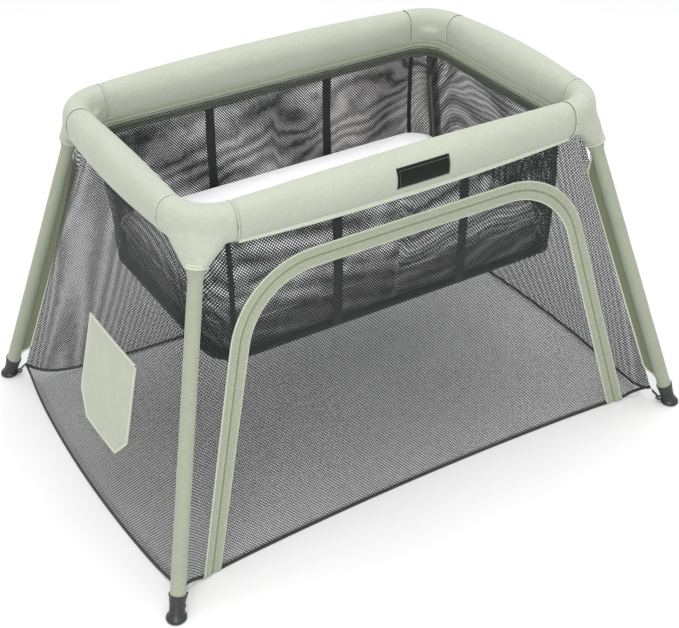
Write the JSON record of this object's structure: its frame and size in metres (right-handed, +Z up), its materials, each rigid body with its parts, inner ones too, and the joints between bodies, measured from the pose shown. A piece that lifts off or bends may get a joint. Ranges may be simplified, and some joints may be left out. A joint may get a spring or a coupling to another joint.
{
  "type": "travel play yard",
  "caption": "Folding play yard: padded rim on splayed legs, mesh walls with a zipped arch door, hanging bassinet, mattress and floor sheet.",
  "frame": {"origin": "centre of the footprint, on the floor that the feet stand on", "axes": "+Z up, +X along the long side, -Y towards the door side"},
  "size_m": [1.136, 0.836, 0.659],
  "materials": {
    "sage_fabric": "woven melange",
    "sage_tape": "ribbed tape",
    "charcoal_mesh": "open net",
    "mattress_cloth": "smooth knit",
    "floor_cloth": "woven polyester",
    "sage_pocket": "woven",
    "dark_label": "woven label",
    "steel_tube": "satin",
    "zinc_steel": "zinc plated",
    "foot_rubber": "matte",
    "zip_metal": "satin",
    "black_plastic": "fine texture"
  },
  "bodies": {
    "left_frame": {"rim_tubes_left": "steel_tube", "corner_joints_left": "black_plastic", "hinge_sockets_left": "black_plastic", "leg_pins_left": "zinc_steel", "corner_covers_left": "sage_fabric", "rim_pad_end_left": "sage_fabric", "rim_pad_front_left": "sage_fabric", "rim_pad_back_left": "sage_fabric", "skirt_left": "charcoal_mesh", "door_surround_left": "sage_tape", "bassinet_left": "charcoal_mesh", "bassinet_band_left": "sage_tape", "mattress_left": "mattress_cloth", "floor_sheet_left": "floor_cloth", "end_pocket": "sage_pocket"},
    "hinge_link": {"hinge_link_front": "zinc_steel", "hinge_link_back": "zinc_steel", "hinge_pins": "zinc_steel", "hinge_sleeve_front": "sage_fabric", "hinge_sleeve_back": "sage_fabric", "label_patch": "dark_label"},
    "right_frame": {"rim_tubes_right": "steel_tube", "corner_joints_right": "black_plastic", "hinge_sockets_right": "black_plastic", "leg_pins_right": "zinc_steel", "corner_covers_right": "sage_fabric", "rim_pad_end_right": "sage_fabric", "rim_pad_front_right": "sage_fabric", "rim_pad_back_right": "sage_fabric", "skirt_right": "charcoal_mesh", "door_surround_right": "sage_tape", "bassinet_right": "charcoal_mesh", "bassinet_band_right": "sage_tape", "mattress_right": "mattress_cloth", "floor_sheet_right": "floor_cloth"},
    "leg_front_left": {"leg_tube_front_left": "steel_tube", "leg_fitting_front_left": "black_plastic", "leg_sleeve_front_left": "sage_fabric", "leg_foot_front_left": "foot_rubber"},
    "leg_front_right": {"leg_tube_front_right": "steel_tube", "leg_fitting_front_right": "black_plastic", "leg_sleeve_front_right": "sage_fabric", "leg_foot_front_right": "foot_rubber"},
    "leg_back_left": {"leg_tube_back_left": "steel_tube", "leg_fitting_back_left": "black_plastic", "leg_sleeve_back_left": "sage_fabric", "leg_foot_back_left": "foot_rubber"},
    "leg_back_right": {"leg_tube_back_right": "steel_tube", "leg_fitting_back_right": "black_plastic", "leg_sleeve_back_right": "sage_fabric", "leg_foot_back_right": "foot_rubber"},
    "door_left": {"door_binding_left": "sage_tape", "door_mesh_left": "charcoal_mesh"},
    "door_right": {"door_binding_right": "sage_tape", "door_mesh_right": "charcoal_mesh"},
    "rail_release_front": {"rail_release_front": "black_plastic"},
    "rail_release_back": {"rail_release_back": "black_plastic"},
    "zip_slider": {"zip_slider": "zip_metal"},
    "zip_pull": {"zip_pull": "zip_metal"}
  },
  "joints": [
    {"name": "rim_fold", "type": "hinge", "parent": "hinge_link", "child": "right_frame", "pos_m": [0.024, 0, 0.638], "axis": [0, -1, 0], "range_deg": [0, 90], "deforming": ["corner_covers_left", "skirt_left", "door_surround_left", "bassinet_left", "bassinet_band_left", "floor_sheet_left", "corner_covers_right", "skirt_right", "door_surround_right", "bassinet_right", "bassinet_band_right", "floor_sheet_right", "hinge_sleeve_front", "hinge_sleeve_back", "end_pocket"]},
    {"name": "link_fold", "type": "hinge", "parent": "left_frame", "child": "hinge_link", "pos_m": [-0.024, 0, 0.638], "axis": [0, -1, 0], "range_deg": [0, 90]},
    {"name": "leg_fold_front_left", "type": "hinge", "parent": "left_frame", "child": "leg_front_left", "pos_m": [-0.40033, -0.25688, 0.565], "axis": [0.9588, 0.0767, -0.2734], "range_deg": [0, 102.55]},
    {"name": "leg_fold_front_right", "type": "hinge", "parent": "right_frame", "child": "leg_front_right", "pos_m": [0.40033, -0.25688, 0.565], "axis": [0.9588, -0.0767, 0.2734], "range_deg": [0, 102.55]},
    {"name": "leg_fold_back_left", "type": "hinge", "parent": "left_frame", "child": "leg_back_left", "pos_m": [-0.40033, 0.25688, 0.565], "axis": [-0.9684, -0.0775, 0.2369], "range_deg": [0, 104.89]},
    {"name": "leg_fold_back_right", "type": "hinge", "parent": "right_frame", "child": "leg_back_right", "pos_m": [0.40033, 0.25688, 0.565], "axis": [-0.9684, 0.0775, -0.2369], "range_deg": [0, 104.89]},
    {"name": "door_open", "type": "hinge", "parent": "left_frame", "child": "door_left", "pos_m": [0, -0.338, 0.004], "axis": [-1, 0, 0], "range_deg": [-80, 0]},
    {"name": "door_open_right", "type": "hinge", "parent": "right_frame", "child": "door_right", "pos_m": [0, -0.338, 0.004], "axis": [-1, 0, 0], "range_deg": [-80, 0]},
    {"name": "zip_slide", "type": "slide", "parent": "right_frame", "child": "zip_slider", "axis": [0.2534, -0.1265, -0.959], "range_m": [-0.3, 0]},
    {"name": "zip_pull_swing", "type": "hinge", "parent": "zip_slider", "child": "zip_pull", "pos_m": [0.46146, -0.33984, 0.02523], "axis": [0.9673, 0.0332, 0.2513], "range_deg": [-70, 0]},
    {"name": "rail_release_press_front", "type": "slide", "parent": "left_frame", "child": "rail_release_front", "axis": [0, 0, -1], "range_m": [-0.004, 0], "stiffness_N_per_m": 400, "springref_m": 0.002},
    {"name": "rail_release_press_back", "type": "slide", "parent": "left_frame", "child": "rail_release_back", "axis": [0, 0, -1], "range_m": [-0.004, 0], "stiffness_N_per_m": 400, "springref_m": 0.002}
  ],
  "couplings": [
    {"joint": "link_fold", "follows": "rim_fold", "ratio": 1},
    {"joint": "leg_fold_front_left", "follows": "rim_fold", "ratio": 1.1394},
    {"joint": "leg_fold_front_right", "follows": "rim_fold", "ratio": 1.1394},
    {"joint": "leg_fold_back_left", "follows": "rim_fold", "ratio": 1.1654},
    {"joint": "leg_fold_back_right", "follows": "rim_fold", "ratio": 1.1654},
    {"joint": "door_open_right", "follows": "door_open", "ratio": 1}
  ]
}
